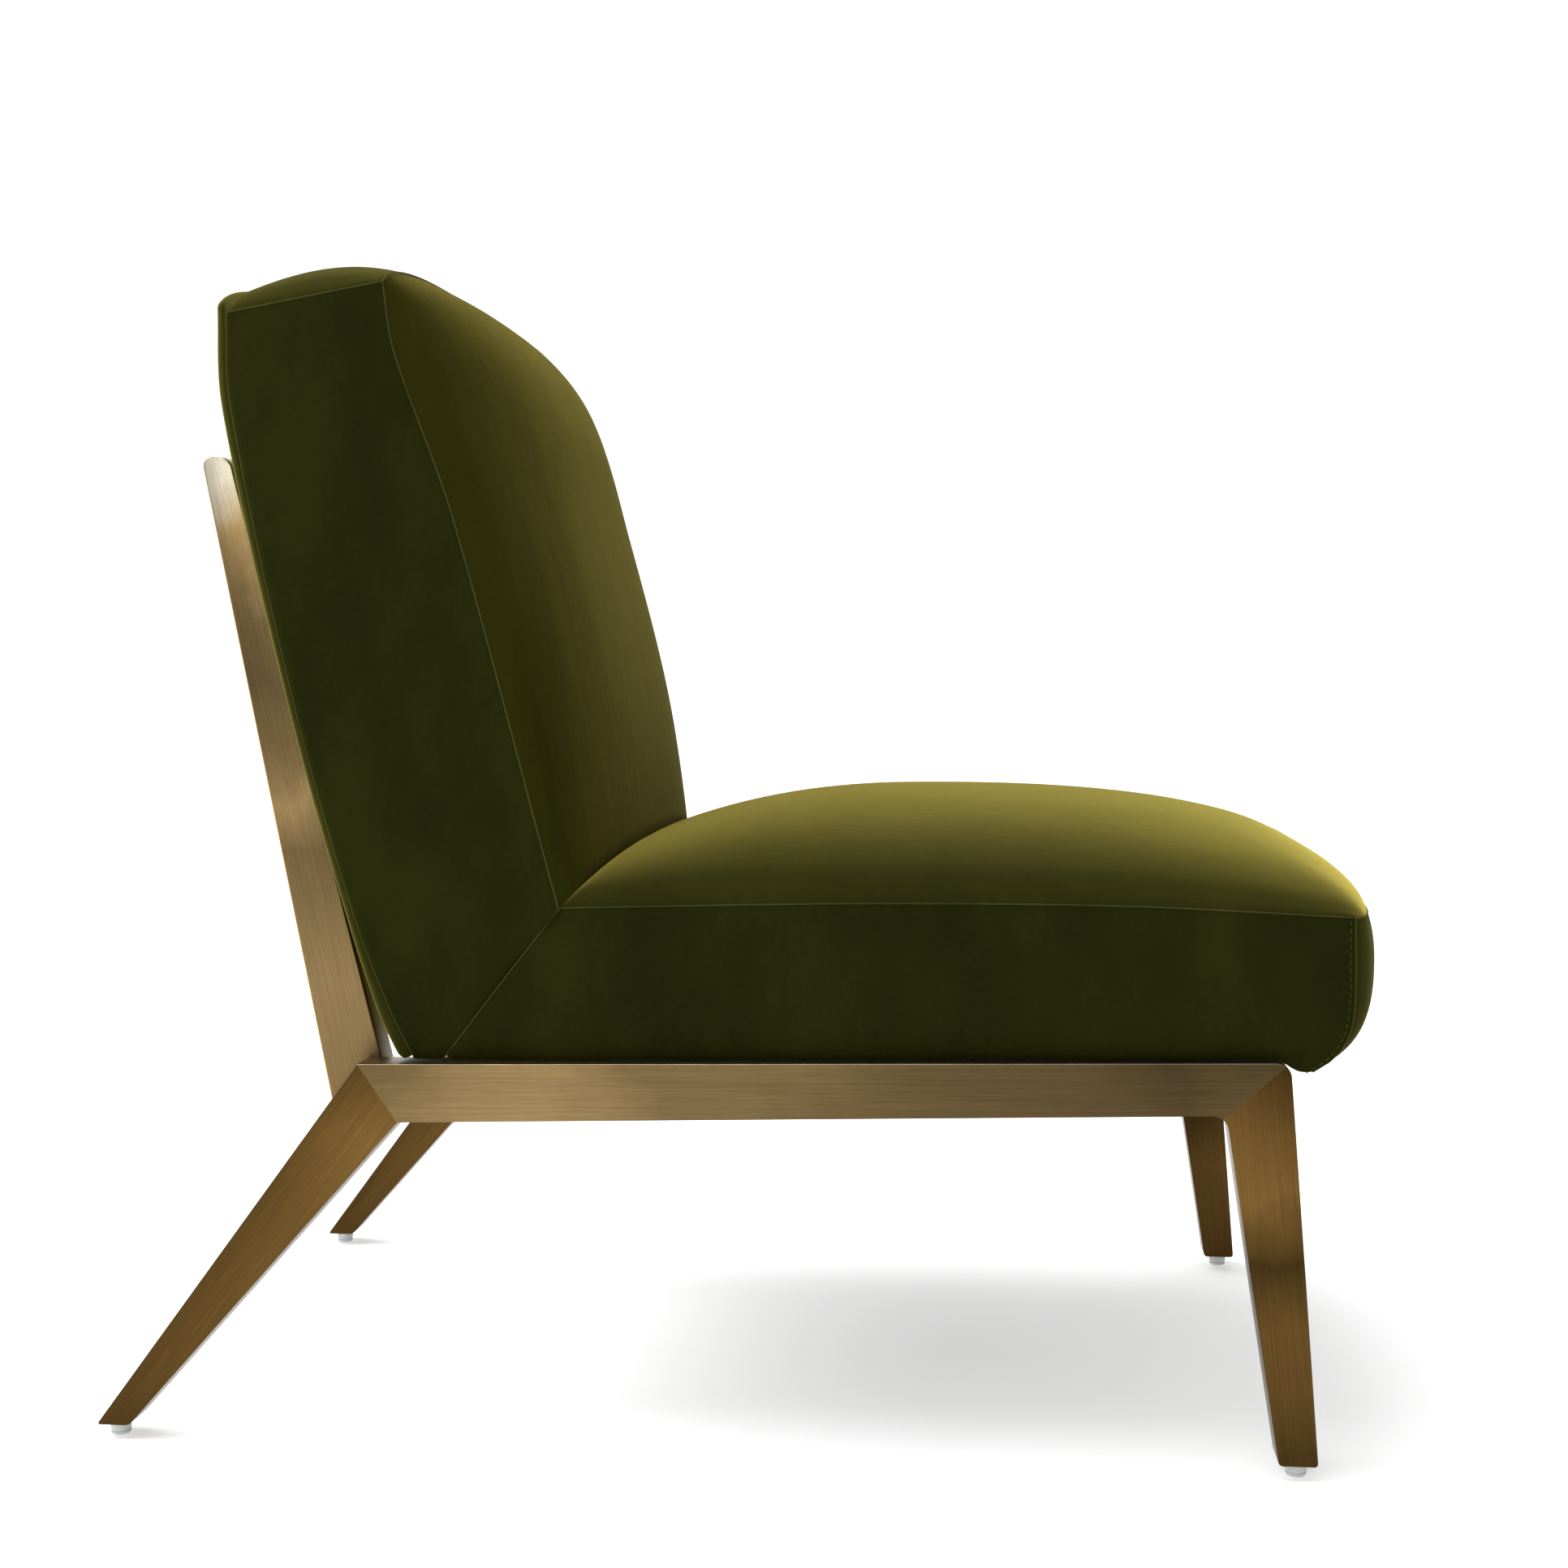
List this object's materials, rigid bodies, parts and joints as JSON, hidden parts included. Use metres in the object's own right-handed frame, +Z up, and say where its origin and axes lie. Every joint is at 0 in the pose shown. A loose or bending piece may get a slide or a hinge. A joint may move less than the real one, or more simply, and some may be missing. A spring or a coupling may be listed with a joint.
{
  "type": "lounge chair",
  "caption": "Low armless lounge chair: raked metal side frames with tapering legs and back uprights carry an upholstered velvet seat and back.",
  "frame": {"origin": "centre of the floor area of the chair, on the floor under the glides", "axes": "+Z up, -Y towards the front of the seat, -X towards the sitter's right"},
  "size_m": [0.55, 0.8855, 0.827],
  "materials": {
    "antique_brass": "satin",
    "velvet": "matte",
    "glide_plastic": "satin",
    "bolt_steel": "satin",
    "timber": "matte",
    "webbing": "matte",
    "lining": "matte",
    "foam": "matte"
  },
  "bodies": {
    "root": {"back_cover": "velvet", "back_foam": "foam", "back_frame_bottom": "timber", "back_frame_left": "timber", "back_frame_right": "timber", "back_frame_top": "timber", "back_webbing_1": "webbing", "back_webbing_2": "webbing", "back_webbing_3": "webbing", "back_webbing_4": "webbing", "front_cross_rail": "antique_brass", "left_back_upright": "antique_brass", "left_front_glide": "glide_plastic", "left_front_leg": "antique_brass", "left_front_seat_bolt": "bolt_steel", "left_front_seat_tab": "antique_brass", "left_lower_back_bolt": "bolt_steel", "left_rear_glide": "glide_plastic", "left_rear_leg": "antique_brass", "left_rear_seat_bolt": "bolt_steel", "left_rear_seat_tab": "antique_brass", "left_side_rail": "antique_brass", "left_upper_back_bolt": "bolt_steel", "outside_back_panel": "velvet", "rear_cross_rail": "antique_brass", "right_back_upright": "antique_brass", "right_front_glide": "glide_plastic", "right_front_leg": "antique_brass", "right_front_seat_bolt": "bolt_steel", "right_front_seat_tab": "antique_brass", "right_lower_back_bolt": "bolt_steel", "right_rear_glide": "glide_plastic", "right_rear_leg": "antique_brass", "right_rear_seat_bolt": "bolt_steel", "right_rear_seat_tab": "antique_brass", "right_side_rail": "antique_brass", "right_upper_back_bolt": "bolt_steel", "seat_cover": "velvet", "seat_foam": "foam", "seat_frame_front": "timber", "seat_frame_left": "timber", "seat_frame_rear": "timber", "seat_frame_right": "timber", "seat_lining": "lining", "seat_webbing_1": "webbing", "seat_webbing_2": "webbing", "seat_webbing_3": "webbing", "seat_webbing_4": "webbing", "seat_webbing_5": "webbing"}
  },
  "joints": []
}
